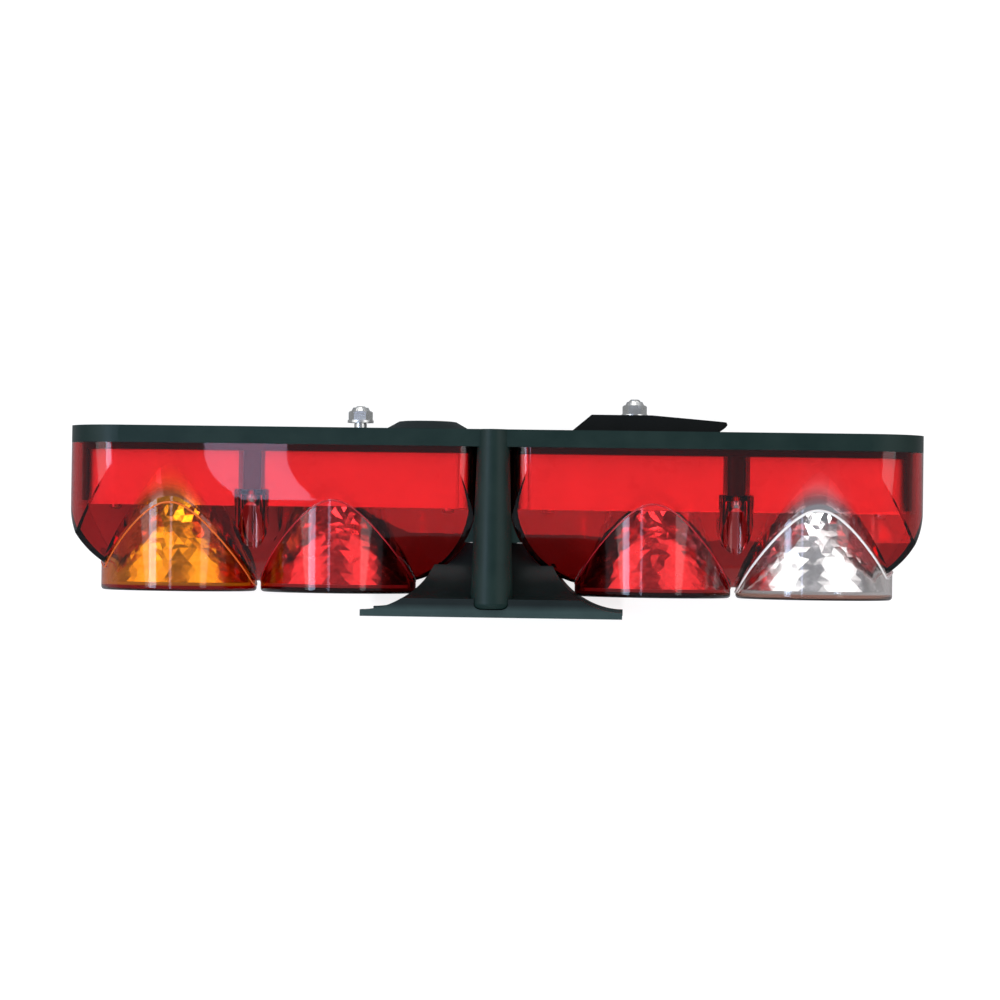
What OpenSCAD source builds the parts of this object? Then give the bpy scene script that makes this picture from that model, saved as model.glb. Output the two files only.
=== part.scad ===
// Rear combination lamp with four round turrets, for a trailer or a truck.
// X is the length, the lenses face -Y, the back plane is Y = 0 and Z is up.
// The origin is the middle between the two studs on the back plane.
// Every piece is drawn face up, with depth along +Z, and on_back() turns it to face -Y.

/* [Overall] */
// Length of the lamp
lamp_l = 400; // [390:1:420]
// Height of the lamp
lamp_h = 80; // [79:0.5:84]
// Radius of the corners, seen from the front
face_r = 26; // [20:1:32]
// Depth of the tray's edge
rim_d = 8; // [7.5:0.25:10]

/* [Lens] */
// Depth of the lens crown
lens_d = 72; // [70:0.5:76]
// Depth at which the long sides start to curve
side_d = 12; // [10:0.5:14]
// Radius of the crown across the height
crown_r = 20; // [16:1:24]
// Radius of the lens ends, seen from above
plan_r = 40; // [34:1:44]
// Wall of the lens
lens_t = 3; // [2.5:0.1:3.4]
// Half of the gap between the two lenses
centre_gap = 8; // [7.8:0.1:10]
// Radius of the lens corners beside the gap
inner_r = 10; // [9:0.5:12]

/* [Turrets] */
// Radius of a turret
turret_r = 36.8; // [35:0.1:37.2]
// Depth of the turret fronts
turret_d = 77; // [76:0.5:80]
// Wall of a turret
turret_wall = 2.5; // [2.2:0.1:3]
// Thickness of a turret's front
turret_t = 2.6; // [2:0.1:3.5]
// Gap for the bond between a red lens and the window in it
bond_gap = 0.1; // [0.05:0.01:0.2]
// Distance from the start of the side curve to the root of a turret
turret_rise = 4; // [3:0.5:5]
// Radius of the edge round a turret's front
turret_edge_r = 1.6; // [1:0.1:2.4]
// Distance from the lamp's end to the outer turret's centre
end_margin = 49.5; // [48:0.5:52]
// Distance between the two turret centres of one lens
turret_pitch = 76; // [75:0.5:77]

/* [Centre] */
// Radius of the half-round bars at the tray
bar_r = 7.3; // [6.5:0.1:7.5]
// Radius of the half-round bars at the front
bar_front_r = 9.8; // [8:0.1:10.5]
// Depth of the bars' ends
bar_d = 83; // [81:0.5:84]
// Distance of the bars' axes from the middle of the lamp's height
bar_z = 36; // [34:0.5:37]
// Thickness of the web between the bars
web_t = 10; // [8:0.5:12]
// Width of the centre trim at its tips
trim_w = 121; // [116:1:124]
// Height of the centre trim
trim_h = 85; // [83:0.5:88]
// Depth of the centre trim's front
trim_d = 87; // [86:0.5:90]
// Thickness of the centre trim at its tips
trim_edge = 3; // [2.5:0.1:4]
// Thickness of the centre trim's rim in its middle
trim_rim = 8.5; // [7:0.5:10]
// Radius of the flare, seen from above
flare_plan_r = 36; // [34:1:40]
// Radius of the flare, seen from the end
flare_side_r = 26; // [22:1:30]
// Distance of the trim's screws from the middle of the lamp's height
trim_screw_z = 16; // [14:0.5:18]
// Radius of a trim screw's shank
trim_screw_r = 2; // [1.8:0.1:2.2]
// Length of a trim screw's shank
trim_screw_l = 15; // [12:1:18]
// Distance from the bars' ends back to the web's edge
web_in = 6; // [5:0.5:8]

/* [Tray] */
// Thickness of the tray's base
base_t = 3; // [2.5:0.1:3.2]
// Wall round the tray
wall_t = 5; // [5:0.1:6]
// Thickness of the rib inside the wall
rib_t = 1.6; // [1.2:0.1:1.8]
// Depth of the rib's edge
rib_d = 11.2; // [10.5:0.1:12]
// Depth of the rib's edge at the lamp's ends
rib_end_d = 35; // [30:1:37]
// Width of the rib's raised part at the lamp's ends, measured along the lamp
rib_end_w = 5; // [4:0.5:7]
// Radius of a screw tower
tower_r = 4.2; // [4:0.1:4.3]
// Distance of the lens screws from the middle of the lamp's height
tower_z = 30.2; // [29.8:0.1:30.3]

/* [Seal] */
// Distance from the lamp's edge to the lens tongue
tongue_in = 1.4; // [1.2:0.1:1.5]
// Width of the lens tongue
tongue_w = 1.3; // [1.1:0.1:1.4]
// Height of the lens tongue
tongue_h = 1.6; // [1.2:0.1:2]
// Thickness of the seal
seal_t = 1.6; // [1.2:0.1:2]
// Clearance between the groove and what lies in it
groove_gap = 0.2; // [0.15:0.05:0.3]

/* [Lens screws] */
// Radius of the wells that the lens screws stand in
well_r = 6; // [5.5:0.1:6.2]
// Wall of a well
well_t = 1.8; // [1.5:0.1:2]
// Depth of a well's floor
well_d = 31.5; // [31:0.5:34]
// Thickness of a well's floor
well_floor = 2.5; // [2:0.1:3]
// Radius of a lens screw's shank
screw_r = 1.9; // [1.7:0.05:2]
// Length of a lens screw's shank
screw_l = 20; // [16:1:24]
// Radius of a lens screw's head
screw_head_r = 3.9; // [3.5:0.1:4.2]
// Height of a lens screw's head
screw_head_h = 2.8; // [2.4:0.1:3.2]

/* [Reflectors] */
// Distance from the lamp's edge to the reflector's side
reflector_in = 8; // [7.8:0.1:8.4]
// Depth of the reflector's back edge
reflector_back = 11; // [10:0.5:12]
// Depth of the reflector's front plate
reflector_d = 36.5; // [35:0.5:37]
// Wall of the reflector
reflector_t = 1.6; // [1.4:0.1:2]
// Radius of the recess in the reflector's side round a screw tower
recess_r = 6.4; // [6:0.1:6.4]
// Radius of a bowl's mouth
bowl_r = 31; // [29:0.5:31.5]
// Depth of a bowl's mouth
bowl_d = 73; // [68:0.5:73.5]
// Depth of a bowl's back end
bowl_back = 20; // [19:0.5:21]
// Radius of a bowl at its back end
bowl_neck_r = 9; // [8.8:0.1:9.5]
// Facets round a bowl
bowl_facets = 24; // [20:2:24]
// Rows of facets in a bowl
bowl_rows = 7; // [6:1:8]
// Radius of the collar round a bulb
collar_r = 13; // [12.5:0.1:14]
// Distance of the inner reflector screw from the middle of the lamp
post_in_x = 24; // [23:0.5:26]
// Distance of the inner reflector screw below the middle of the lamp's height
post_in_z = 22; // [20:0.5:24]
// Distance from an outer turret's centre to the outer reflector screw
post_out = 31; // [30:0.5:32]
// Radius of a post under a reflector screw
post_r = 4; // [3.5:0.1:4.2]
// Radius of a reflector screw's shank
reflector_screw_r = 1.5; // [1.4:0.1:1.6]
// Length of a reflector screw's shank
reflector_screw_l = 11; // [9:1:13]

/* [Bulbs] */
// Radius of a bulb's globe
globe_r = 12.5; // [11:0.1:13]
// Depth of a globe's centre
globe_d = 39; // [37:0.5:41]
// Radius of a bulb's cap
cap_r = 7.5; // [7.2:0.1:7.6]
// Depth of a bulb's cap rim
cap_d = 25; // [23:0.5:26]
// Wall of a lamp holder
holder_t = 1.6; // [1.2:0.1:1.8]

/* [Studs] */
// Distance between the two studs
stud_spacing = 130; // [126:1:134]
// Radius of a stud's plain shank
stud_r = 3; // [3:0.1:3.2]
// Radius of a stud's threaded end
thread_r = 2.7; // [2.6:0.05:2.8]
// Length of a stud's plain shank beyond the back
shank_l = 3.2; // [3:0.1:3.6]
// Reach of the left stud beyond the back
stud_left_l = 11.4; // [11.2:0.1:16]
// Reach of the right stud beyond the back
stud_right_l = 16.2; // [15.8:0.1:20]
// Radius of a stud's head
stud_head_r = 6.5; // [6:0.1:7]
// Radius of a stud's neck in the tray's base
stud_neck_r = 3.6; // [3.5:0.1:4]
// Thickness of a stud's head
stud_head_t = 2.4; // [2:0.1:2.5]
// Width of a nut across its flats
nut_af = 10; // [9.8:0.1:11]
// Height of a nut with its collar
nut_h = 6; // [5.5:0.1:6.2]
// Radius of a washer
washer_r = 6.2; // [6:0.1:7]
// Thickness of a washer
washer_t = 1.2; // [1:0.1:1.5]
// Distance of the left washer from the back
washer_left_y = 3.6; // [3.5:0.1:4.6]

/* [Back] */
// Length of the pad at the right stud
pad_l = 73; // [68:1:76]
// Height of the pad
pad_h = 44; // [40:1:50]
// Thickness of the pad at its tall end
pad_t = 8; // [7:0.1:8]
// Thickness of the pad's thin end
pad_end_t = 4.8; // [4:0.1:5.5]
// Length of the slope at the pad's tall end
pad_ramp = 9.5; // [8:0.5:11]
// Length of the slope under the pad's thin end
pad_under = 5.6; // [4:0.2:6]
// Distance from the pad's tall end to its stud
pad_reach = 29.5; // [28:0.5:31]
// Radius of the pad's hole for the stud
pad_hole_r = 4.6; // [4.4:0.1:5]
// Distance of the grommet from the middle of the lamp
grommet_x = 33; // [32:0.5:35]
// Radius of the grommet's dome at the back
grommet_r = 20; // [18:0.5:20]
// Radius of the dome's flat top
grommet_top_r = 12; // [10:0.5:13]
// Height of the dome
grommet_h = 4.6; // [4:0.1:6]
// Radius of the grommet's hole in the tray
grommet_hole_r = 11; // [9:0.5:12]
// Radius of the cable's bore through the grommet
cable_r = 3.5; // [3:0.1:4]
// Width of the grommet's lip inside the tray
grommet_lip = 2; // [1.5:0.1:2.5]
// Thickness of the grommet's lip
grommet_lip_t = 1.4; // [1:0.1:2]
// Width of the bevel round the dome's flat top
grommet_edge = 1.6; // [1:0.1:2]

/* [Supply] */
// Width of the earth strip
strip_w = 8; // [7:0.5:9]
// Thickness of the earth strip
strip_t = 0.8; // [0.8:0.1:1]
// Depth of the earth strip's back
strip_d = 6; // [5.8:0.1:6.2]
// Distance of the strip below the middle of the lamp's height
strip_z = 10; // [9:0.5:11]
// Distance from the middle of the lamp to the strip's bends
strip_bend = 16; // [15.6:0.1:17]

/* [Hidden] */
$fn = 72;
// A cut reaches this far past what it cuts
past = 1;
// Clearance of pieces that are put together without force
slip = 0.15;
// Clearance between mouldings that stand side by side
side_gap = 0.4;
// Smallest radius of a moulded corner
least_r = 1;
half_l = lamp_l / 2;
half_h = lamp_h / 2;
outer_x = half_l - end_margin;
inner_x = outer_x - turret_pitch;
turrets = [inner_x, outer_x];
well_x = (inner_x + outer_x) / 2;
wells = [[well_x, tower_z], [well_x, -tower_z]];
tower_d = well_d - well_floor;
stud_x = stud_spacing / 2;
// The lens arcs would reach this far past the flats that they run into
swell = 0.05;
// The section across the height: a large arc on each side runs into the crown's arc
bulge_d = lens_d - side_d;
bulge_h = half_h + swell;
side_r = (bulge_h ^ 2 + bulge_d ^ 2 - 2 * bulge_d * crown_r) / (2 * (bulge_h - crown_r));
crown_c = lens_d - crown_r;
crown_cos = (crown_c - side_d) / (side_r - crown_r);
turret_root = side_d + turret_rise;
web_d = bar_d - web_in;
bulb_r = cap_r + slip;
holder_r = bulb_r + holder_t;
holder_back = strip_d + strip_t;
collar_t = 2.4;
collar_back = bowl_back - collar_t + 0.4;
posts = [[post_in_x, -post_in_z], [outer_x + post_out, 0]];
nut_bore_gap = 0.05;
// Thickness of the trim under its screws' heads
trim_floor = web_in / 2;
washer_right_y = pad_t - 0.1;
block = [18, 15, 9];
block_at = [-grommet_x - 6, 22];

// Turns a piece drawn face up so that it faces -Y
module on_back() {
    rotate([90, 0, 0]) children();
}

// Draws a right-hand piece on the side asked for: 1 is right, -1 is left
module on_side(side) {
    mirror([side < 0 ? 1 : 0, 0, 0]) children();
}

// A rectangle from one corner to the other
module span(a, b) {
    translate(a) square(b - a);
}

// The whole lamp seen from the front, drawn in by an inset
module full_face(inset) {
    w = half_l - inset;
    h = half_h - inset;
    span([-w, face_r - half_h], [w, half_h - face_r]);
    span([face_r - half_l, -h], [half_l - face_r, h]);
    for (sx = [-1, 1], sz = [-1, 1])
        translate([sx * (half_l - face_r), sz * (half_h - face_r)]) circle(face_r - inset);
}

// One lens seen from the front, drawn in by an inset
module half_face(inset) {
    x0 = centre_gap + inset;
    x1 = half_l - inset;
    z1 = half_h - inset;
    r = max(inner_r - inset, least_r);
    span([x0, r - z1], [x0 + r, z1 - r]);
    span([x0 + r, -z1], [half_l - face_r, z1]);
    span([half_l - face_r, face_r - half_h], [x1, half_h - face_r]);
    for (sz = [-1, 1]) {
        translate([x0 + r, sz * (z1 - r)]) circle(r);
        translate([half_l - face_r, sz * (half_h - face_r)]) circle(face_r - inset);
    }
}

// A band that follows the lens edge, between two insets
module edge_band(from, to) {
    difference() {
        half_face(from);
        half_face(to);
    }
}

// One lens seen from above: length along x, depth along y
module plan_outline(inset, back) {
    x0 = centre_gap - swell + plan_r;
    x1 = half_l + swell - plan_r;
    top = lens_d + swell;
    intersection() {
        span([centre_gap + inset, back], [half_l - inset, top]);
        union() {
            span([0, back], [half_l, top - plan_r]);
            span([x0, back], [x1, top - inset]);
            for (x = [x0, x1]) translate([x, top - plan_r]) circle(plan_r - inset);
        }
    }
}

// The lens section: height along x, depth along y
module depth_section(inset, back) {
    chord = crown_c + (crown_r - inset) * crown_cos;
    span([inset - half_h, back], [half_h - inset, side_d]);
    intersection() {
        translate([bulge_h - side_r, side_d]) circle(side_r - inset, $fn = 180);
        translate([side_r - bulge_h, side_d]) circle(side_r - inset, $fn = 180);
        span([inset - half_h, side_d], [half_h - inset, chord]);
    }
    translate([0, crown_c]) circle(crown_r - inset);
}

// The loaf-shaped body of one lens, drawn in by an inset, from a given depth
module loaf(inset, back) {
    intersection() {
        rotate([90, 0, 90]) linear_extrude(half_l + past) depth_section(inset, back);
        translate([0, half_h + past, 0]) rotate([90, 0, 0])
            linear_extrude(lamp_h + 2 * past) plan_outline(inset, back);
        translate([0, 0, back]) linear_extrude(lens_d) half_face(inset);
    }
}

// The outside of a turret: a cylinder with a rounded front edge
module turret(x) {
    edge_d = turret_d - turret_edge_r;
    translate([x, 0, turret_root]) cylinder(h = edge_d - turret_root, r = turret_r);
    translate([x, 0, edge_d]) rotate_extrude() {
        square([turret_r - turret_edge_r, turret_edge_r]);
        intersection() {
            translate([turret_r - turret_edge_r, 0]) circle(turret_edge_r);
            square(turret_r);
        }
    }
}

// The hollow of a turret, from a given depth
module turret_hollow(x, back) {
    translate([x, 0, back]) cylinder(h = turret_d - turret_t - back, r = turret_r - turret_wall);
}

// The wells of the lens screws, as posts of a given radius between two depths
module well_posts(r, from, to) {
    for (p = wells) translate([p[0], p[1], from]) cylinder(h = to - from, r = r);
}

// A red lens: its body, its inner turret, two wells and the tongue that presses on the seal
module red_lens() {
    difference() {
        union() {
            loaf(0, rim_d);
            turret(inner_x);
        }
        difference() {
            union() {
                loaf(lens_t, rim_d - past);
                turret_hollow(inner_x, turret_root);
            }
            well_posts(well_r + well_t, tower_d, lens_d);
        }
        translate([outer_x, 0, turret_root]) cylinder(h = turret_d, r = turret_r + bond_gap);
        well_posts(well_r, well_d, lens_d + past);
        well_posts(screw_r + slip, tower_d - past, well_d + past);
    }
    translate([0, 0, rim_d - tongue_h])
        linear_extrude(tongue_h + slip) edge_band(tongue_in, tongue_in + tongue_w);
}

// The part of a turret that stands out of the lens body
module window() {
    difference() {
        turret(outer_x);
        turret_hollow(outer_x, turret_root - past);
        loaf(lens_t, rim_d);
    }
}

module lens_left() {
    color("crimson") on_back() on_side(-1) red_lens();
}

module lens_right() {
    color("crimson") on_back() on_side(1) red_lens();
}

module amber_window() {
    color("orange") on_back() on_side(-1) window();
}

module clear_window() {
    color("aliceblue") on_back() on_side(1) window();
}

// A ring that lies in the tray's groove under the lens tongue
module seal() {
    translate([0, 0, rim_d - tongue_h - seal_t])
        linear_extrude(seal_t) edge_band(tongue_in, tongue_in + tongue_w);
}

module seal_left() {
    color("dimgray") on_back() on_side(-1) seal();
}

module seal_right() {
    color("dimgray") on_back() on_side(1) seal();
}

// A bar between the lenses: slightly conical, with a rounded end
module bar(r, front_r, depth) {
    edge = 2.5;
    cylinder(h = depth - edge, r1 = r, r2 = front_r);
    translate([0, 0, depth - edge]) rotate_extrude() {
        square([front_r - edge, edge]);
        intersection() {
            translate([front_r - edge, 0]) circle(edge);
            square(front_r);
        }
    }
}

// Both bars, grown by a clearance
module bars(grow) {
    for (sz = [-1, 1]) translate([0, sz * bar_z, 0]) bar(bar_r + grow, bar_front_r + grow, bar_d + grow);
}

// The web between the bars, grown by a clearance
module web(grow) {
    translate([-web_t / 2 - grow, -bar_z, 0]) cube([web_t + 2 * grow, 2 * bar_z, web_d + grow]);
}

// A rib that hides the gap between the tray and the reflector, raised at the lamp's end
module rib() {
    linear_extrude(rib_d) edge_band(wall_t - slip, wall_t + rib_t);
    linear_extrude(rib_end_d) intersection() {
        edge_band(wall_t, wall_t + rib_t);
        translate([half_l - wall_t - rib_end_w, -half_h]) square([rib_end_w, lamp_h]);
    }
}

// What one half of the tray carries: rib, screw towers, reflector posts and a pad under the earth strip
module tray_half() {
    rib();
    for (p = wells) translate([p[0], p[1], 0]) cylinder(h = tower_d, r = tower_r);
    for (p = posts) translate([p[0], p[1], 0]) cylinder(h = reflector_d - reflector_t, r = post_r);
    translate([well_x, -strip_z, 0]) cylinder(h = strip_d, r = strip_w / 2);
}

// What is cut from one half of the tray: the seal groove and the screw holes
module tray_half_cuts() {
    groove_h = tongue_h + seal_t;
    translate([0, 0, rim_d - groove_h]) linear_extrude(groove_h + past)
        edge_band(tongue_in - groove_gap, tongue_in + tongue_w + groove_gap);
    for (p = wells) translate([p[0], p[1], well_d - screw_l]) cylinder(h = screw_l, r = screw_r + slip);
    for (p = posts) translate([p[0], p[1], reflector_d - reflector_screw_l - past])
        cylinder(h = reflector_screw_l + past, r = reflector_screw_r + slip);
}

module tray() {
    difference() {
        union() {
            difference() {
                linear_extrude(rim_d) full_face(0);
                for (side = [-1, 1]) on_side(side)
                    translate([0, 0, base_t]) linear_extrude(rim_d) half_face(wall_t);
            }
            for (side = [-1, 1]) on_side(side) tray_half();
            bars(0);
            web(0);
        }
        for (side = [-1, 1]) {
            on_side(side) tray_half_cuts();
            translate([side * stud_x, 0, -past]) cylinder(h = base_t + 2 * past, r = stud_neck_r + slip / 2);
            translate([0, side * trim_screw_z, web_d - trim_screw_l])
                cylinder(h = trim_screw_l + past, r = trim_screw_r + slip);
        }
        translate([-grommet_x, 0, -past]) cylinder(h = base_t + 2 * past, r = grommet_hole_r + slip / 2);
        translate([-strip_bend, -strip_z - strip_w / 2 - slip, base_t])
            cube([2 * strip_bend, strip_w + 2 * slip, strip_t + 2 * slip]);
    }
}

module housing() {
    color([0.1, 0.13, 0.13]) on_back() tray();
}

// The trim's envelope seen from above: straight beside the web, then flaring to the tips
module flare_plan() {
    tip = trim_w / 2;
    c = trim_d - trim_edge - flare_plan_r;
    difference() {
        span([-tip, c], [tip, trim_d]);
        for (side = [-1, 1]) translate([side * tip, c]) circle(flare_plan_r);
    }
}

// The trim's envelope seen from the end: flaring to its upper and lower edges
module flare_side() {
    top = trim_h / 2;
    c = trim_d - trim_rim - flare_side_r;
    difference() {
        span([-top, c], [top, trim_d]);
        for (side = [-1, 1]) translate([side * top, c]) circle(flare_side_r);
    }
}

module trim() {
    back = trim_d - trim_rim - flare_side_r;
    difference() {
        intersection() {
            rotate([90, 0, 90]) translate([0, 0, -trim_w / 2]) linear_extrude(trim_w) flare_side();
            translate([0, trim_h / 2, 0]) rotate([90, 0, 0]) linear_extrude(trim_h) flare_plan();
        }
        for (side = [-1, 1]) on_side(side) {
            loaf(-side_gap, back - past);
            translate([inner_x, 0, back - past])
                cylinder(h = trim_d, r = turret_r + side_gap);
        }
        bars(side_gap);
        web(slip);
        for (side = [-1, 1]) translate([0, side * trim_screw_z, web_d - past]) {
            cylinder(h = trim_d, r = trim_screw_r + slip);
            translate([0, 0, past + trim_floor]) cylinder(h = trim_d, r = 2 * trim_screw_r + slip);
        }
    }
}

module center_trim() {
    color([0.13, 0.16, 0.16]) on_back() trim();
}

// Radius of a bowl at a depth: a paraboloid from the neck to the mouth
function bowl_at(d) =
    sqrt(bowl_neck_r ^ 2 + (bowl_r ^ 2 - bowl_neck_r ^ 2) * (d - bowl_back) / (bowl_d - bowl_back));

// Points of the bowl, ring by ring, each ring turned by half a facet from the last
function bowl_points(grow, past_end) = [
    for (row = [0 : bowl_rows])
        let (d = bowl_back + (bowl_d - bowl_back) * row / bowl_rows)
        let (z = row == 0 ? d - past_end : row == bowl_rows ? d + past_end : d)
        for (i = [0 : bowl_facets - 1])
            let (a = 360 * (i + (row % 2) / 2) / bowl_facets)
            [(bowl_at(d) + grow) * cos(a), (bowl_at(d) + grow) * sin(a), z]
];

function bowl_faces() = [
    [for (i = [0 : bowl_facets - 1]) i],
    [for (i = [0 : bowl_facets - 1]) (bowl_rows + 1) * bowl_facets - 1 - i],
    for (row = [0 : bowl_rows - 1])
        for (i = [0 : bowl_facets - 1])
            let (j = (i + 1) % bowl_facets)
            let (a = row * bowl_facets + i)
            let (b = row * bowl_facets + j)
            let (c = (row + 1) * bowl_facets + i)
            let (d = (row + 1) * bowl_facets + j)
            each (row % 2 == 0 ? [[a, c, b], [b, c, d]] : [[a, d, b], [a, c, d]])
];

module bowl(grow, past_end) {
    polyhedron(points = bowl_points(grow, past_end), faces = bowl_faces());
}

// A carrier with two faceted bowls, cut round the screw towers
module reflector() {
    difference() {
        union() {
            translate([0, 0, reflector_back]) linear_extrude(reflector_d - reflector_back)
                edge_band(reflector_in, reflector_in + reflector_t);
            translate([0, 0, reflector_d - reflector_t])
                linear_extrude(reflector_t) half_face(reflector_in);
            for (x = turrets) translate([x, 0, 0]) {
                bowl(reflector_t, 0);
                translate([0, 0, collar_back]) cylinder(h = collar_t, r = collar_r);
            }
            for (p = wells) translate([p[0], p[1], reflector_back])
                intersection() {
                    cylinder(h = reflector_d - reflector_back, r = recess_r + reflector_t);
                    translate([-recess_r * 2, p[1] > 0 ? -recess_r * 2 : -reflector_t, 0])
                        cube([recess_r * 4, recess_r * 2 + reflector_t, reflector_d]);
                }
        }
        for (p = wells) translate([p[0], p[1], 0]) {
            translate([0, 0, reflector_back - past]) cylinder(h = reflector_d, r = recess_r);
            translate([0, 0, tower_d - side_gap]) cylinder(h = reflector_d, r = well_r + well_t + side_gap);
        }
        for (x = turrets) translate([x, 0, 0]) {
            bowl(0, past / 2);
            translate([0, 0, collar_back - past]) cylinder(h = collar_t + 2 * past, r = cap_r + 4 * slip);
        }
        for (p = posts) translate([p[0], p[1], reflector_d - reflector_t - past])
            cylinder(h = reflector_t + 2 * past, r = reflector_screw_r + slip);
    }
}

module reflector_left() {
    color("silver") on_back() on_side(-1) reflector();
}

module reflector_right() {
    color("silver") on_back() on_side(1) reflector();
}

// A sealed bulb: cap, neck and globe turned from one profile
module bulb(x) {
    foot = holder_back + holder_t;
    neck_r = cap_r - 0.4;
    on_back() translate([x, 0, 0]) {
        translate([0, 0, foot]) cylinder(h = cap_d - foot, r = cap_r);
        translate([0, 0, cap_d]) cylinder(h = globe_d - cap_d, r = neck_r);
        translate([0, 0, globe_d]) sphere(globe_r);
    }
}

module bulb_amber() {
    color("orange") bulb(-outer_x);
}

module bulb_tail() {
    color("white") bulb(-inner_x);
}

module bulb_stop() {
    color("white") bulb(inner_x);
}

module bulb_clear() {
    color("white") bulb(outer_x);
}

// A lamp holder: a cup on the earth strip with a flange under the reflector's collar
module holder(x) {
    on_back() translate([x, 0, holder_back]) difference() {
        union() {
            cylinder(h = collar_back - holder_back, r = holder_r);
            translate([0, 0, collar_back - holder_back - holder_t]) cylinder(h = holder_t, r = collar_r);
        }
        translate([0, 0, holder_t]) cylinder(h = collar_back, r = bulb_r);
    }
}

module holder_amber() {
    color("ivory") holder(-outer_x);
}

module holder_tail() {
    color("ivory") holder(-inner_x);
}

module holder_stop() {
    color("ivory") holder(inner_x);
}

module holder_clear() {
    color("ivory") holder(outer_x);
}

// The earth strip joins all four holders and steps down to pass under the seals through a slot in the web
module earth_strip() {
    low = base_t + slip;
    color("gold") on_back() {
        translate([0, -strip_z - strip_w / 2, low]) {
            translate([-strip_bend, 0, 0]) cube([2 * strip_bend, strip_w, strip_t]);
            for (side = [-1, 1]) translate([side * strip_bend - strip_t / 2, 0, 0])
                cube([strip_t, strip_w, strip_d + strip_t - low]);
        }
        for (side = [-1, 1]) on_side(side) translate([0, 0, strip_d]) linear_extrude(strip_t) {
            span([strip_bend, -strip_z - strip_w / 2], [outer_x, strip_w / 2 - strip_z]);
            for (x = turrets) translate([x, 0]) circle(holder_r);
        }
    }
}

// The block that the vehicle's cable would end in, with a row of clamps
module terminal_block() {
    color("ivory") on_back() translate([block_at[0], block_at[1], base_t])
        difference() {
            translate([-block[0] / 2, -block[1] / 2, 0]) cube(block);
            for (i = [-1, 0, 1]) translate([i * block[0] / 3.2, 0, block[2] / 2]) {
                cylinder(h = block[2], r = 1.8);
                translate([0, -past, 1]) rotate([90, 0, 0]) cylinder(h = block[1], r = 1.2);
            }
        }
}

// A pan-headed screw with its head's underside at z = 0 and its shank pointing down
module pan_screw(r, l, head_r, head_h) {
    difference() {
        union() {
            translate([0, 0, -l]) cylinder(h = l, r = r);
            cylinder(h = head_h * 0.55, r = head_r);
            translate([0, 0, head_h * 0.55]) cylinder(h = head_h * 0.45, r1 = head_r, r2 = head_r * 0.62);
        }
        translate([0, 0, head_h * 0.45]) for (turn = [0, 90]) rotate([0, 0, turn])
            translate([-head_r * 0.5, -head_r * 0.12, 0]) cube([head_r, head_r * 0.24, head_h]);
    }
}

module lens_screws() {
    color("lightgray") on_back() for (side = [-1, 1]) on_side(side)
        for (p = wells) translate([p[0], p[1], well_d])
            pan_screw(screw_r, screw_l - 1, screw_head_r, screw_head_h);
}

module reflector_screws() {
    color("lightgray") on_back() for (side = [-1, 1]) on_side(side)
        for (p = posts) translate([p[0], p[1], reflector_d])
            pan_screw(reflector_screw_r, reflector_screw_l, 2 * reflector_screw_r, reflector_screw_r * 1.4);
}

module trim_screws() {
    color("dimgray") on_back() for (side = [-1, 1])
        translate([0, side * trim_screw_z, web_d + trim_floor])
            pan_screw(trim_screw_r, trim_screw_l, 2 * trim_screw_r, 1.2 * trim_screw_r);
}

// A stud that is pressed into the tray's base from inside, with its end beyond the back
module stud(x, reach) {
    tip = 0.8;
    color("silver") on_back() translate([x, 0, 0]) {
        translate([0, 0, base_t]) cylinder(h = stud_head_t, r = stud_head_r);
        cylinder(h = base_t, r = stud_neck_r);
        translate([0, 0, -shank_l]) cylinder(h = shank_l, r = stud_r);
        translate([0, 0, tip - reach]) cylinder(h = reach - shank_l - tip, r = thread_r);
        translate([0, 0, -reach]) cylinder(h = tip, r1 = thread_r - tip, r2 = thread_r);
    }
}

module stud_left() {
    stud(-stud_x, stud_left_l);
}

module stud_right() {
    stud(stud_x, stud_right_l);
}

module washer(x, y) {
    color("silver") translate([x, y, 0]) rotate([-90, 0, 0]) difference() {
        cylinder(h = washer_t, r = washer_r);
        translate([0, 0, -past]) cylinder(h = washer_t + 2 * past, r = stud_r + 2 * slip);
    }
}

module washer_left() {
    washer(-stud_x, washer_left_y);
}

module washer_right() {
    washer(stud_x, washer_right_y);
}

// A self-locking nut: a hexagon with chamfered corners and a round collar
module nut(x, y) {
    hex_h = nut_h * 0.72;
    corner_r = nut_af / sqrt(3);
    color("gainsboro") translate([x, y, 0]) rotate([-90, 0, 0]) difference() {
        union() {
            intersection() {
                cylinder(h = hex_h, r = corner_r, $fn = 6);
                cylinder(h = hex_h, r1 = corner_r + hex_h, r2 = nut_af / 2 * 1.02);
            }
            translate([0, 0, hex_h - slip]) cylinder(h = nut_h - hex_h + slip, r1 = nut_af * 0.46, r2 = nut_af * 0.36);
        }
        translate([0, 0, -past]) cylinder(h = nut_h + 2 * past, r = thread_r + nut_bore_gap);
    }
}

module nut_left() {
    nut(-stud_x, washer_left_y + washer_t);
}

module nut_right() {
    nut(stud_x, washer_right_y + washer_t);
}

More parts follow.
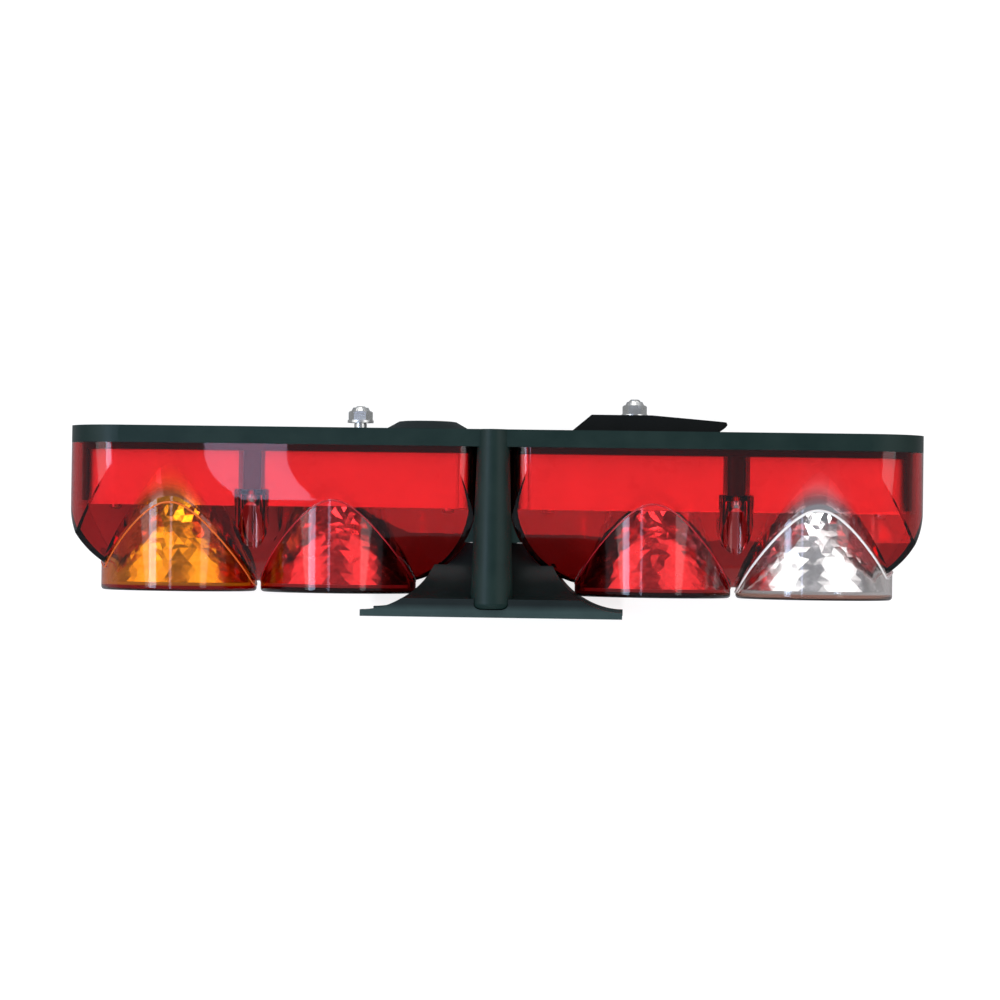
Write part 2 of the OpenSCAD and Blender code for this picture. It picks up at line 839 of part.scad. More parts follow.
// The pad at the right stud: a wedge that is tall at its inner end and thin at its outer end
module mounting_pad() {
    x0 = stud_x - pad_reach;
    x1 = x0 + pad_l;
    corner = 5;
    color([0.05, 0.06, 0.06]) difference() {
        translate([0, 0, -pad_h / 2]) linear_extrude(pad_h) polygon([
            [x0, 0],
            [x0 + pad_ramp, pad_t],
            [stud_x + washer_r + 2, pad_t],
            [x1 - 0.6, pad_end_t + 0.4],
            [x1, pad_end_t - 0.8],
            [x1 - pad_under, 0]
        ]);
        translate([stud_x, -past, 0]) rotate([-90, 0, 0]) cylinder(h = pad_t + 2 * past, r = pad_hole_r);
        translate([stud_x, pad_t - 0.1, 0]) rotate([-90, 0, 0]) cylinder(h = past, r = washer_r + side_gap);
        for (sz = [-1, 1]) translate([x1 - corner, -past, sz * (pad_h / 2 - corner)]) rotate([-90, 0, 0])
            difference() {
                translate([0, sz > 0 ? -2 * corner : 0, 0]) cube([2 * corner, 2 * corner, pad_t + 2 * past]);
                translate([0, 0, -past]) cylinder(h = pad_t + 4 * past, r = corner);
            }
    }
}

// A rubber grommet for the vehicle's cable: a low dome outside and a lip inside the tray
module cable_grommet() {
    lip_r = grommet_hole_r + grommet_lip;
    top = base_t + grommet_lip_t;
    shoulder = grommet_h - 0.2;
    color([0.07, 0.08, 0.08]) on_back() translate([-grommet_x, 0, 0]) rotate_extrude() polygon([
        [cable_r, -grommet_h],
        [grommet_top_r, -grommet_h],
        [grommet_top_r + grommet_edge, -shoulder],
        [grommet_r, -grommet_edge / 2],
        [grommet_r, 0],
        [grommet_hole_r, 0],
        [grommet_hole_r, base_t],
        [lip_r, base_t],
        [lip_r, top],
        [cable_r, top]
    ]);
}

housing();
center_trim();
lens_left();
lens_right();
amber_window();
clear_window();
seal_left();
seal_right();
reflector_left();
reflector_right();
bulb_amber();
bulb_tail();
bulb_stop();
bulb_clear();
holder_amber();
holder_tail();
holder_stop();
holder_clear();
earth_strip();
terminal_block();
lens_screws();
reflector_screws();
trim_screws();
stud_left();
stud_right();
washer_left();
washer_right();
nut_left();
nut_right();
mounting_pad();
cable_grommet();
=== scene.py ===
import math
import random

import bmesh
import bpy
from mathutils import Matrix, Vector


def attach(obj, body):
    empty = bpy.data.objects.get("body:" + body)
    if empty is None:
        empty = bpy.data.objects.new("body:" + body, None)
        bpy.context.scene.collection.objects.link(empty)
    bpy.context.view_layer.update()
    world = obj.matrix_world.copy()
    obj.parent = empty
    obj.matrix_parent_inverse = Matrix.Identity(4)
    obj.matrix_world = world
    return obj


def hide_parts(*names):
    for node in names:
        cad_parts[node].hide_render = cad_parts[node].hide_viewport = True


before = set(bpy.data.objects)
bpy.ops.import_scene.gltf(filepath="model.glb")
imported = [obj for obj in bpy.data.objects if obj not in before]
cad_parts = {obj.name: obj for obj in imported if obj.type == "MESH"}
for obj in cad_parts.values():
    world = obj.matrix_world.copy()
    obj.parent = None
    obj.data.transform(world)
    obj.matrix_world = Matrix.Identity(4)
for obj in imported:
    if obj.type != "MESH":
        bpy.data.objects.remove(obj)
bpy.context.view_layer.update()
MM = 0.001
scene = bpy.context.scene

# Sizes of the solids, in mm

# turret centres along the lamp
TURRETS = {"amber": -150.5, "tail": -74.5, "stop": 74.5, "clear": 150.5}
WAYS = {"left": -1, "right": 1}
# the paraboloid of a bowl: radii at its back and front depths
BOWL_NECK_R, BOWL_MOUTH_R, BOWL_BACK, BOWL_FRONT = 9.0, 31.0, 20.0, 73.0
# the red lens: half height, end, half gap, depths, and radii across and along the lamp
HALF_H, END_X, CENTRE_GAP = 40.0, 200.0, 8.0
SIDE_D, LENS_D, CROWN_R, PLAN_R = 12.0, 72.0, 20.0, 40.0
# the arcs of the lens run this far past the flats that they meet
SWELL = 0.05
# a bulb: globe, neck and cap
GLOBE_R, GLOBE_D, NECK_R, CAP_R, CAP_D, CAP_FOOT = 12.5, 39.0, 7.1, 7.5, 25.0, 8.4


# Shader helpers

def new_material(name):
    material = bpy.data.materials.new(name)
    material.use_nodes = True
    tree = material.node_tree
    tree.nodes.clear()
    output = tree.nodes.new("ShaderNodeOutputMaterial")
    return material, tree, output


def node(tree, kind, sockets=None, **settings):
    """A node with its settings, such as the operation, and the values of its sockets."""
    added = tree.nodes.new(kind)
    for key, value in settings.items():
        setattr(added, key, value)
    for key, value in (sockets or {}).items():
        added.inputs[key].default_value = value
    return added


def maths(tree, operation, *values):
    """The output of a Math node on numbers and sockets."""
    added = node(tree, "ShaderNodeMath", operation=operation)
    for socket, value in zip(added.inputs, values):
        if isinstance(value, float):
            socket.default_value = value
        else:
            tree.links.new(value, socket)
    return added.outputs[0]


def map_range(tree, value, limits, results=(0.0, 1.0), kind="LINEAR"):
    added = node(tree, "ShaderNodeMapRange", interpolation_type=kind)
    for key, number in zip(("From Min", "From Max", "To Min", "To Max"), (*limits, *results)):
        added.inputs[key].default_value = number
    tree.links.new(value, added.inputs["Value"])
    return added.outputs["Result"]


def object_coordinates(tree):
    return tree.nodes.new("ShaderNodeTexCoord").outputs["Object"]


def separate(tree, vector):
    added = tree.nodes.new("ShaderNodeSeparateXYZ")
    tree.links.new(vector, added.inputs[0])
    return added.outputs


def noise(tree, scale, detail, rough):
    added = node(tree, "ShaderNodeTexNoise", {"Scale": scale, "Detail": detail, "Roughness": rough})
    tree.links.new(object_coordinates(tree), added.inputs["Vector"])
    return added.outputs["Fac"]


def ramp(tree, factor, stops):
    added = tree.nodes.new("ShaderNodeValToRGB")
    for element, (position, colour) in zip(added.color_ramp.elements, stops):
        element.position = position
        element.color = (*colour, 1)
    tree.links.new(factor, added.inputs["Fac"])
    return added.outputs["Color"]


def principled(material):
    return next(one for one in material.node_tree.nodes if one.type == "BSDF_PRINCIPLED")


def textured(name, sockets, tone, relief, colours, spread, rough, strength, depth):
    """A surface whose colour and gloss follow one noise (tone), with a relief from another."""
    material, tree, output = new_material(name)
    surface = node(tree, "ShaderNodeBsdfPrincipled", sockets)
    tone_at = noise(tree, *tone)
    relief_at = noise(tree, *relief) if relief else tone_at
    gloss = [(0.3, (rough[0],) * 3), (0.7, (rough[1],) * 3)]
    bump = node(tree, "ShaderNodeBump", {"Strength": strength, "Distance": depth})
    tree.links.new(relief_at, bump.inputs["Height"])
    tree.links.new(ramp(tree, tone_at, list(zip(spread, colours))), surface.inputs["Base Color"])
    tree.links.new(ramp(tree, tone_at, gloss), surface.inputs["Roughness"])
    tree.links.new(bump.outputs["Normal"], surface.inputs["Normal"])
    tree.links.new(surface.outputs["BSDF"], output.inputs["Surface"])
    return material


# Materials

def plastic(name, colour_a, colour_b, rough=(0.3, 0.45), grain=900, depth=0.00005, specular=0.5):
    """Moulded plastic: a slightly uneven colour, fine grain and uneven gloss."""
    sockets = {"IOR": 1.5, "Specular IOR Level": specular}
    return textured(name, sockets, (45, 4, 0.6), (grain, 2, 0.5), (colour_a, colour_b), (0.35, 0.65),
                    rough, 0.35, depth)


def metal(name, colour_a, colour_b, rough=(0.15, 0.3), scale=120):
    """Drawn or plated metal: its colour, gloss and relief follow one noise."""
    return textured(name, {"Metallic": 1.0}, (scale, 5, 0.6), None, (colour_a, colour_b), (0.3, 0.7),
                    rough, 0.3, 0.00002)


def paint_flare_shade(material, front, behind, share):
    """Paints shade on a plastic: darkens it to a share of its colour behind its front rim, so the flare
    looks shaded and the rim lit.
    """
    tree = material.node_tree
    base = principled(material).inputs["Base Color"]
    forward = separate(tree, object_coordinates(tree))["Y"]
    # painted shade: the colour falls to a share of itself between the front and the back Y
    fade = map_range(tree, forward, (front, behind), (1.0, share))
    scaled = node(tree, "ShaderNodeVectorMath", operation="SCALE")
    tree.links.new(base.links[0].from_socket, scaled.inputs[0])
    tree.links.new(fade, scaled.inputs["Scale"])
    tree.links.new(scaled.outputs["Vector"], base)
    return material


# faces whose normal's Y is below this look towards the lens
COAT_FACING = -0.2
# the coat fades in between these two Y, along an arch of this bend over each outer turret, in metres
COAT_FADE = (-0.022, -0.031)
COAT_BEND = 37.0


def metallised(name, colour_a, colour_b, bare=(0.25, 0.36), coated=0.08):
    """Bare plastic whose faces towards the lens carry a thin coat of metal, as evaporated reflectors do.

    The coat also creeps over the front edge of the side walls beside the outer bowls.
    """
    material = plastic(name, colour_a, colour_b, bare, 500, 0.00003)
    tree = material.node_tree
    surface = principled(material)
    normal = separate(tree, tree.nodes.new("ShaderNodeNewGeometry").outputs["Normal"])
    facing = maths(tree, "LESS_THAN", normal["Y"], COAT_FACING)
    at = separate(tree, object_coordinates(tree))
    off = maths(tree, "SUBTRACT", maths(tree, "ABSOLUTE", at["X"]), TURRETS["clear"] * MM)
    bend = maths(tree, "MULTIPLY", maths(tree, "MULTIPLY", off, off), COAT_BEND)
    creep = map_range(tree, maths(tree, "ADD", at["Y"], bend), COAT_FADE, kind="SMOOTHSTEP")
    mask = maths(tree, "MAXIMUM", facing, creep)
    tree.links.new(mask, surface.inputs["Metallic"])
    rough = node(tree, "ShaderNodeMix", {"B": coated})
    tree.links.new(mask, rough.inputs["Factor"])
    tree.links.new(surface.inputs["Roughness"].links[0].from_socket, rough.inputs["A"])
    tree.links.new(rough.outputs["Result"], surface.inputs["Roughness"])
    return material


def lens_material(name, colour, density, rough=0.015, ior=1.49):
    """Tinted moulded lens: its colour comes from what its thickness absorbs, so edges are darker."""
    material, tree, output = new_material(name)
    surface = node(tree, "ShaderNodeBsdfPrincipled", {
        "Roughness": rough, "IOR": ior, "Transmission Weight": 1.0, "Base Color": (1, 1, 1, 1)})
    see_through = node(tree, "ShaderNodeBsdfTransparent", {"Color": (0.96, 0.96, 0.96, 1)})
    mix = tree.nodes.new("ShaderNodeMixShader")
    tree.links.new(tree.nodes.new("ShaderNodeLightPath").outputs["Is Shadow Ray"], mix.inputs[0])
    tree.links.new(surface.outputs["BSDF"], mix.inputs[1])
    tree.links.new(see_through.outputs["BSDF"], mix.inputs[2])
    tree.links.new(mix.outputs["Shader"], output.inputs["Surface"])
    if density:
        tint = node(tree, "ShaderNodeVolumeAbsorption", {"Color": (*colour, 1), "Density": density})
        tree.links.new(tint.outputs["Volume"], output.inputs["Volume"])
    return material


# the cover keeps its full colour up to the first Y, and painted shade darkens its flare from the second
# on, in metres
COVER_SHADE_LIMITS = (-0.084, -0.081)
# the share of its colour that the flare keeps under the painted shade
COVER_FLARE_SHADE_SHARE = 0.22

MATERIALS = {
    "tray": plastic("tray_black", (0.005, 0.0165, 0.0145), (0.009, 0.0225, 0.0195), (0.36, 0.48),
                    specular=0.22),
    # the cover's flare carries painted shade, and its rim keeps the full colour
    "trim": paint_flare_shade(plastic("trim_black", (0.026, 0.045, 0.044), (0.034, 0.057, 0.055), (0.32, 0.44),
                           specular=0.25), *COVER_SHADE_LIMITS, COVER_FLARE_SHADE_SHARE),
    "pad": plastic("pad_black", (0.001, 0.002, 0.002), (0.003, 0.004, 0.004), (0.5, 0.65),
                   specular=0.15),
    "rubber": plastic("rubber_black", (0.003, 0.009, 0.010), (0.006, 0.013, 0.014), (0.5, 0.65), 400,
                      specular=0.2),
    "seal": plastic("seal_rubber", (0.02, 0.02, 0.02), (0.035, 0.035, 0.035), (0.6, 0.75), 400),
    "holder": plastic("holder_ivory", (0.55, 0.52, 0.44), (0.65, 0.62, 0.54), (0.4, 0.5)),
    "brass": metal("strip_brass", (0.62, 0.45, 0.2), (0.72, 0.55, 0.28), (0.25, 0.4)),
    "zinc": metal("zinc_steel", (0.62, 0.62, 0.6), (0.78, 0.78, 0.76), (0.18, 0.35)),
    "steel": metal("screw_steel", (0.5, 0.5, 0.5), (0.66, 0.66, 0.66), (0.2, 0.35)),
    "chrome": metal("reflector_metal", (0.86, 0.86, 0.87), (0.93, 0.93, 0.94), (0.05, 0.1), 60),
    "chrome_out": metal("reflector_metal_outside", (0.6, 0.6, 0.6), (0.85, 0.85, 0.85), (0.14, 0.3),
                        140),
    "carrier": metallised("reflector_carrier", (0.76, 0.76, 0.77), (0.82, 0.82, 0.83)),
    "red": lens_material("lens_red", (0.935, 0.045, 0.08), 700),
    "amber": lens_material("lens_amber", (0.99, 0.73, 0.0), 900),
    "clear": lens_material("lens_clear", (0.99, 0.955, 0.94), 250),
    "bead_amber": plastic("bead_amber", (0.6, 0.1, 0.015), (0.7, 0.15, 0.02), (0.2, 0.3), 300, 0.00003),
    "bead_red": plastic("bead_red", (0.35, 0.012, 0.02), (0.45, 0.02, 0.03), (0.15, 0.25), 300,
                        0.00003),
    "bead_clear": plastic("bead_clear", (0.78, 0.76, 0.75), (0.85, 0.84, 0.83), (0.2, 0.3), 300,
                          0.00003),
    "bulb": lens_material("bulb_glass", (1, 1, 1), 0, 0.0, 1.45),
    "bulb_amber": lens_material("bulb_glass_amber", (0.98, 0.6, 0.05), 1500, 0.0, 1.45),
    "tungsten": metal("filament_tungsten", (0.25, 0.24, 0.23), (0.36, 0.35, 0.33), (0.35, 0.5)),
    "cap": metal("bulb_cap_brass", (0.75, 0.68, 0.5), (0.85, 0.78, 0.6), (0.2, 0.35)),
}
NODE_MATERIALS = {
    "housing": "tray", "center_trim": "trim", "lens_left": "red", "lens_right": "red",
    "amber_window": "amber", "clear_window": "clear", "seal_left": "seal", "seal_right": "seal",
    "reflector_left": "carrier", "reflector_right": "carrier",
    "bulb_amber": "bulb_amber", "bulb_tail": "bulb", "bulb_stop": "bulb", "bulb_clear": "bulb",
    "holder_amber": "holder", "holder_tail": "holder", "holder_stop": "holder",
    "holder_clear": "holder", "earth_strip": "brass", "terminal_block": "holder",
    "lens_screws": "steel", "reflector_screws": "steel", "trim_screws": "steel",
    "stud_left": "zinc", "stud_right": "zinc", "washer_left": "zinc", "washer_right": "zinc",
    "nut_left": "zinc", "nut_right": "zinc", "mounting_pad": "pad", "cable_grommet": "rubber",
}
for name, kind in NODE_MATERIALS.items():
    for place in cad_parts[name].material_slots:
        place.material = MATERIALS[kind]


# Shape helpers

def to_frame(x, y, depth):
    """A point given as length, height and depth from the back, in mm, as a point of the frame."""
    return Vector((x, -depth, y)) * MM


def round_axis(x, radius, angle, depth):
    """A point at a radius and angle round an axis along the depth."""
    return to_frame(x + radius * math.cos(angle), radius * math.sin(angle), depth)


def add_piece(name, verts, faces, kind, smooth=False, replaced=()):
    mesh = bpy.data.meshes.new(name)
    mesh.from_pydata(verts, [], faces)
    mesh.materials.append(MATERIALS[kind])
    for face in mesh.polygons:
        face.use_smooth = smooth
    mesh.update()
    piece = bpy.data.objects.new(name, mesh)
    scene.collection.objects.link(piece)
    edited = bmesh.new()
    edited.from_mesh(mesh)
    bmesh.ops.recalc_face_normals(edited, faces=edited.faces)
    edited.to_mesh(mesh)
    edited.free()
    if replaced:
        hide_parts(*replaced)
    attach(piece, "root")


def lathe(x, profile, steps=48):
    """A closed body: a profile [(radius, depth)] turned round an axis along the depth, with flat ends."""
    verts = [round_axis(x, radius, 2 * math.pi * i / steps, depth)
             for radius, depth in profile for i in range(steps)]
    faces = []
    last = len(profile) - 1
    for k in range(last):
        for i in range(steps):
            j = (i + 1) % steps
            faces.append((k * steps + i, k * steps + j, (k + 1) * steps + j, (k + 1) * steps + i))
    return verts, faces + [tuple(range(steps)), tuple(range(last * steps, (last + 1) * steps))]


def prism(outline, ends, place):
    """A closed body: an outline drawn between two ends; place(u, v, end) gives a point of the frame."""
    count = len(outline)
    verts = [place(u, v, end) for end in ends for u, v in outline]
    faces = [(i, (i + 1) % count, (i + 1) % count + count, i + count) for i in range(count)]
    return verts, faces + [tuple(range(count)), tuple(range(count, 2 * count))]


# Bowls

# how far a facet's corner strays from its place, as a share of the facet
FACET_STRAY = 0.28
# the facets grow calmer over these depths, and by this share
CALM_FROM, CALM_OVER, CALM_BY = 58, 8, 0.75


def bowl_radius(depth):
    share = (depth - BOWL_BACK) / (BOWL_FRONT - BOWL_BACK)
    return math.sqrt(BOWL_NECK_R ** 2 + (BOWL_MOUTH_R ** 2 - BOWL_NECK_R ** 2) * share)


def faceted_bowl(x, grow, rows, around, back, front, seed, cut, wall):
    """A closed shell of flat facets with slightly uneven corners, as polished mould inserts leave them."""
    draw = random.Random(seed)
    verts, behind, faces = [], [], []
    step = (front - back) / rows
    for k in range(rows + 1):
        stray = FACET_STRAY if 0 < k < rows else 0
        for i in range(around):
            depth = back + step * (k + draw.uniform(-stray, stray))
            angle = 2 * math.pi * (i + 0.5 * (k % 2) + draw.uniform(-stray, stray)) / around
            fade = 1 - CALM_BY * min(max((depth - CALM_FROM) / CALM_OVER, 0), 1)
            radius = bowl_radius(depth) + grow + cut * draw.uniform(-1, 1) * fade
            verts.append(round_axis(x, radius, angle, depth))
            behind.append(round_axis(x, radius + wall, angle, depth))
    for k in range(rows):
        for i in range(around):
            j = (i + 1) % around
            a, b = k * around + i, k * around + j
            c, d = (k + 1) * around + i, (k + 1) * around + j
            faces += [(a, b, c), (b, d, c)] if k % 2 == 0 else [(a, b, d), (a, d, c)]
    count = len(verts)
    faces += [tuple(count + i for i in reversed(face)) for face in faces]
    for first in (0, rows * around):
        for i in range(around):
            a, b = first + i, first + (i + 1) % around
            faces.append((a, b, count + b, count + a))
    return verts + behind, faces


for name, x in TURRETS.items():
    verts, faces = faceted_bowl(x, grow=-0.8, rows=13, around=32, back=21.0, front=72.6,
                                seed=7 + int(abs(x)), cut=0.15, wall=0.4)
    add_piece(f"bowl_inside_{name}", verts, faces, "chrome")
    verts, faces = faceted_bowl(x, grow=2.35, rows=14, around=48, back=36.6, front=72.9,
                                seed=3 + int(abs(x)), cut=0.4, wall=-0.4)
    add_piece(f"bowl_outside_{name}", verts, faces, "chrome_out")

# Beads round the turrets

RISE = LENS_D - SIDE_D
SIDE_R = ((HALF_H + SWELL) ** 2 + RISE ** 2 - 2 * RISE * CROWN_R) / (2 * (HALF_H + SWELL - CROWN_R))


def lens_depth(x, z):
    """Depth of the red lens's outside at a length and height."""
    z = abs(z)
    side = SIDE_D + math.sqrt(max(SIDE_R ** 2 - (z - (HALF_H + SWELL - SIDE_R)) ** 2, 0))
    crown = LENS_D - CROWN_R + math.sqrt(max(CROWN_R ** 2 - z ** 2, 0)) if z < CROWN_R else 0
    tangent = LENS_D - CROWN_R + CROWN_R * (LENS_D - CROWN_R - SIDE_D) / (SIDE_R - CROWN_R)
    section = crown if crown > tangent else min(side, tangent)
    top = LENS_D + SWELL
    over = max(abs(x) - (END_X + SWELL - PLAN_R), CENTRE_GAP - SWELL + PLAN_R - abs(x))
    plan = top if over < 0 else top - PLAN_R + math.sqrt(max(PLAN_R ** 2 - over ** 2, 0))
    return min(section, plan)


BEAD_RING_R = 36.7
# material, slot, radius of the bead, and how far it lies in front of the red lens
BEADS = {
    "amber": ("bead_amber", "lens_amber", 0.45, 2.2),
    "clear": ("bead_clear", "lens_clear", 0.6, 2.2),
    "tail": ("bead_red", "lens_red", 0.35, 0.4),
    "stop": ("bead_red", "lens_red", 0.35, 0.4),
}


def bead(x, tube, ahead, steps=144, sides=8):
    """A closed bead that follows the red lens round a turret."""
    ring = []
    for i in range(steps):
        angle = 2 * math.pi * i / steps
        length, height = x + BEAD_RING_R * math.cos(angle), BEAD_RING_R * math.sin(angle)
        ring.append(to_frame(length, height, lens_depth(length, height) + ahead))
    verts, faces = [], []
    for i in range(steps):
        along = (ring[(i + 1) % steps] - ring[i - 1]).normalized()
        from_axis = ring[i] - to_frame(x, 0, 0)
        from_axis.y = 0
        side = along.cross(from_axis).normalized()
        outward = side.cross(along).normalized()
        for k in range(sides):
            angle = 2 * math.pi * k / sides
            verts.append(ring[i] + (outward * math.cos(angle) + side * math.sin(angle)) * tube * MM)
    for i in range(steps):
        for k in range(sides):
            i2, k2 = (i + 1) % steps, (k + 1) % sides
            faces.append((i * sides + k, i * sides + k2, i2 * sides + k2, i2 * sides + k))
    return verts, faces


for name, (kind, slot_name, tube, ahead) in BEADS.items():
    verts, faces = bead(TURRETS[name], tube, ahead)
    add_piece(f"bead_{name}", verts, faces, kind, True)

# Beside the gap between the lenses

# the carriers' pale ends, which reach up to the lens walls
END_IN, END_OUT, END_Z, END_CORNER, END_DEPTHS = 11.8, 16.05, 31.7, 3.0, (11.2, 36.3)
END_CORNER_STEPS = 6
for name, way in WAYS.items():
    outline = [(END_OUT, END_Z)]
    for i in range(END_CORNER_STEPS + 1):
        angle = math.pi / 2 * (1 + i / END_CORNER_STEPS)
        outline.append((END_IN + END_CORNER * (1 + math.cos(angle)),
                        END_Z - END_CORNER * (1 - math.sin(angle))))
    outline += [(x, -z) for x, z in reversed(outline)]
    verts, faces = prism(outline, END_DEPTHS, lambda x, z, depth: to_frame(way * x, z, depth))
    add_piece(f"carrier_end_{name}", verts, faces, "carrier")

# the web's cheeks, which thicken it towards the cover along the arcs of the lens ends
CHEEK_IN, CHEEK_Z, CHEEK_GAP, CHEEK_BACK, CHEEK_FRONT = 4.9, 33.0, 0.5, 38.0, 52.35
CHEEK_STEPS = 12
for name, way in WAYS.items():
    outline = [(CHEEK_IN, CHEEK_BACK)]
    for i in range(CHEEK_STEPS + 1):
        depth = CHEEK_BACK + (CHEEK_FRONT - CHEEK_BACK) * i / CHEEK_STEPS
        arc = CENTRE_GAP + PLAN_R - math.sqrt(PLAN_R ** 2 - (depth - (LENS_D - PLAN_R)) ** 2)
        outline.append((arc - CHEEK_GAP, depth))
    outline.append((CHEEK_IN, CHEEK_FRONT))
    verts, faces = prism(outline, (-CHEEK_Z, CHEEK_Z), lambda x, depth, z: to_frame(way * x, z, depth))
    add_piece(f"web_cheek_{name}", verts, faces, "tray")

# Sealed bulbs: glass, brass cap and filament

GLASS_WALL = 0.7
GLASS_FOOT = 24.9
GLOBE_STEPS = 16
# radii that stand in for zero at the axis, outside and inside the glass
AXIS_OUT_R, AXIS_IN_R = 0.05, 0.04
# the glass keeps its full wall up to this far behind the globe's centre
FULL_WALL_BEHIND = 8
COIL_TURNS, COIL_R, COIL_HALF, COIL_STEPS = 12, 0.55, 3.2, 96
# each lead rises from its foot over a knee to the coil's end: lengths off the axis, and the knee's depth
LEAD_FOOT, LEAD_KNEE, LEAD_KNEE_D = 1.6, 1.9, 31
WIRE_R = 0.16
CAP_PROFILE = [
    (2.0, CAP_FOOT), (CAP_R - 1.6, CAP_FOOT + 0.1), (CAP_R - 0.3, CAP_FOOT + 1.0),
    (CAP_R, CAP_FOOT + 1.6), (CAP_R, CAP_D - 1.2), (CAP_R - 0.2, CAP_D - 0.4), (NECK_R + 0.08, CAP_D),
]


def glass_profiles():
    """The outside and the inside of a bulb's glass."""
    outer = [(AXIS_OUT_R, GLASS_FOOT), (NECK_R - 0.6, GLASS_FOOT), (NECK_R, CAP_D - 2)]
    start = math.acos(NECK_R / GLOBE_R)
    for i in range(GLOBE_STEPS + 1):
        angle = -start + (math.pi / 2 + start) * i / GLOBE_STEPS
        outer.append((max(GLOBE_R * math.cos(angle), AXIS_OUT_R), GLOBE_D + GLOBE_R * math.sin(angle)))
    inner = []
    for radius, depth in outer:
        share = 1 if depth < GLOBE_D - FULL_WALL_BEHIND else (GLOBE_D - depth) / GLOBE_R
        inner.append((max(radius - GLASS_WALL, AXIS_IN_R), depth + GLASS_WALL * share))
    return outer, inner


def filament(name, x):
    """A coil between two leads."""
    coil = []
    for i in range(COIL_STEPS + 1):
        angle = 2 * math.pi * COIL_TURNS * i / COIL_STEPS
        along = -COIL_HALF + 2 * COIL_HALF * i / COIL_STEPS
        coil.append(to_frame(x + along, COIL_R * math.sin(angle), GLOBE_D + COIL_R * math.cos(angle)))
    wires = [coil]
    for way in WAYS.values():
        wires.append([to_frame(x + way * LEAD_FOOT, 0, CAP_D - 1),
                      to_frame(x + way * LEAD_KNEE, 0, LEAD_KNEE_D),
                      to_frame(x + way * COIL_HALF, 0, GLOBE_D)])
    curve = bpy.data.curves.new(name, "CURVE")
    curve.dimensions = "3D"
    curve.bevel_depth = WIRE_R * MM
    curve.bevel_resolution = 1
    curve.use_fill_caps = True
    for wire in wires:
        spline = curve.splines.new("POLY")
        spline.points.add(len(wire) - 1)
        for point, place in zip(spline.points, wire):
            point.co = (*place, 1)
    curve.materials.append(MATERIALS["tungsten"])
    piece = bpy.data.objects.new(name, curve)
    scene.collection.objects.link(piece)
    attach(piece, "root")


outer, inner = glass_profiles()
for name, x in TURRETS.items():
    tinted = name == "amber"
    glass, slot_name = ("bulb_amber", "bulb_glass_amber") if tinted else ("bulb", "bulb_glass")
    verts, faces = lathe(x, outer)
    verts_in, faces_in = lathe(x, inner)
    faces_in = [tuple(i + len(verts) for i in reversed(face)) for face in faces_in]
    add_piece(f"glass_{name}", verts + verts_in, faces + faces_in, glass, True,
              (f"bulb_{name}",))
    verts, faces = lathe(x, CAP_PROFILE)
    add_piece(f"cap_{name}", verts, faces, "cap", True)
    filament(f"filament_{name}", x)

# Floor: the camera sees it white, glass and metal see it grey, and it keeps the shadow

FLOOR_Z = -0.0459
FLOOR_GREY = 0.3
FLOOR_WHITE = 0.82
FLOOR_IN_GLASS = 0.1
bpy.ops.mesh.primitive_plane_add(size=8, location=(0, 0, FLOOR_Z))
floor = bpy.context.object
floor.name = "floor"
material, tree, output = new_material("floor_white")
rays = tree.nodes.new("ShaderNodeLightPath").outputs
diffuse = node(tree, "ShaderNodeBsdfDiffuse", {"Color": (FLOOR_GREY, FLOOR_GREY, FLOOR_GREY, 1)})
glow = node(tree, "ShaderNodeEmission", {"Color": (1, 1, 1, 1)})
reflected = maths(tree, "MAXIMUM", rays["Is Glossy Ray"], rays["Is Transmission Ray"])
grey_part = maths(tree, "MULTIPLY", reflected, FLOOR_IN_GLASS)
white_part = maths(tree, "MULTIPLY_ADD", rays["Is Camera Ray"], FLOOR_WHITE, grey_part)
tree.links.new(white_part, glow.inputs["Strength"])
both = tree.nodes.new("ShaderNodeAddShader")
tree.links.new(diffuse.outputs["BSDF"], both.inputs[0])
tree.links.new(glow.outputs["Emission"], both.inputs[1])
tree.links.new(both.outputs["Shader"], output.inputs["Surface"])
floor.data.materials.append(material)


# Lights

def area(name, place, target, size, power, colour=(1, 1, 1), size_y=None, mirrored=True):
    """A lamp at a place, turned to a target; a lamp that isn't mirrored leaves no highlight."""
    light = bpy.data.lights.new(name, "AREA")
    light.energy = power
    light.color = colour
    light.size = size
    if size_y:
        light.shape = "RECTANGLE"
        light.size_y = size_y
    lamp = bpy.data.objects.new(name, light)
    scene.collection.objects.link(lamp)
    lamp.visible_glossy = mirrored
    lamp.location = place
    lamp.rotation_euler = (Vector(target) - Vector(place)).to_track_quat("-Z", "Y").to_euler()


area("window", (-0.80, -0.10, 1.08), (0, -0.06, 0), 0.8, 4.6, (0.52, 0.72, 1.0), 0.24)
area("strip", (-0.24, -0.345, 1.05), (-0.24, -0.345, 0), 0.065, 0.6, (0.6, 0.68, 1.0), 0.83)
area("left", (-1.1, 0.6, 0.85), (0, -0.04, 0), 1.35, 9.8)
area("front", (0.15, -1.05, 0.75), (0, -0.04, 0), 0.6, 10, mirrored=False)
area("right", (1.05, 0.6, 0.9), (0, -0.04, 0), 1.35, 9.8)
area("back", (-0.1, 1.1, 0.55), (0, 0, 0), 0.8, 5)

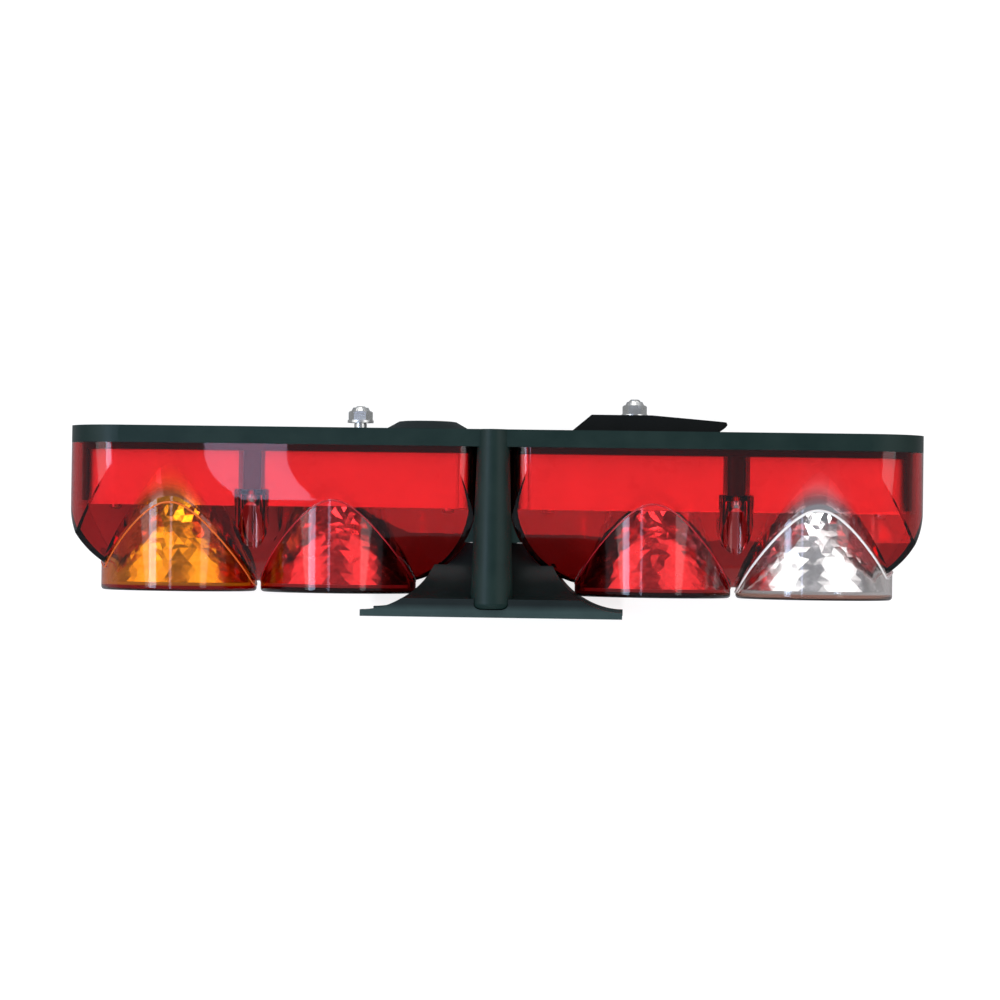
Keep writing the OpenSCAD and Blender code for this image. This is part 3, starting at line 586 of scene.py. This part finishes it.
# the room lights the lamp, metal and glass mirror a paler one, and the camera sees white
ROOM_LIGHT = 0.2
ROOM_MIRRORED = 0.15
world = bpy.data.worlds.new("world")
scene.world = world
world.use_nodes = True
tree = world.node_tree
rays = tree.nodes.new("ShaderNodeLightPath").outputs
room = tree.nodes["Background"]
room.inputs["Color"].default_value = (0.85, 0.9, 1.0, 1)
brightness = maths(tree, "MULTIPLY_ADD", rays["Is Glossy Ray"], ROOM_MIRRORED, ROOM_LIGHT)
tree.links.new(brightness, room.inputs["Strength"])
backdrop = node(tree, "ShaderNodeBackground", {"Color": (1, 1, 1, 1), "Strength": 1.0})
seen = tree.nodes.new("ShaderNodeMixShader")
tree.links.new(rays["Is Camera Ray"], seen.inputs[0])
tree.links.new(room.outputs[0], seen.inputs[1])
tree.links.new(backdrop.outputs[0], seen.inputs[2])
tree.links.new(seen.outputs[0], tree.nodes["World Output"].inputs["Surface"])

# Camera, fitted to the photograph: it looks down on the lamp, with the back upwards in the picture

CAMERA_MM = (64.4, -51.4, 1483.4)
YAW, ROLL, FOCAL_PX, LIFT_PX = 0.042, 0.014, 3131.9, 40.6
FRAME_PX, SENSOR_MM = 1000, 36
forward = Vector((-math.sin(YAW), 0, -math.cos(YAW)))
level_right = Vector((math.cos(YAW), 0, -math.sin(YAW)))
level_up = Vector((0, 1, 0))
right = level_right * math.cos(ROLL) + level_up * math.sin(ROLL)
up = level_up * math.cos(ROLL) - level_right * math.sin(ROLL)
forward = (forward + up * (LIFT_PX / FOCAL_PX)).normalized()
up = (-forward).cross(right).normalized()
camera_data = bpy.data.cameras.new("camera")
camera_data.sensor_width = SENSOR_MM
camera_data.lens = FOCAL_PX * SENSOR_MM / FRAME_PX
camera_data.clip_end = 20
camera = bpy.data.objects.new("camera", camera_data)
scene.collection.objects.link(camera)
turn = Matrix((right, up, -forward)).transposed()
camera.matrix_world = Matrix.Translation(Vector(CAMERA_MM) * MM) @ turn.to_4x4()
scene.camera = camera

scene.view_settings.view_transform = "Standard"
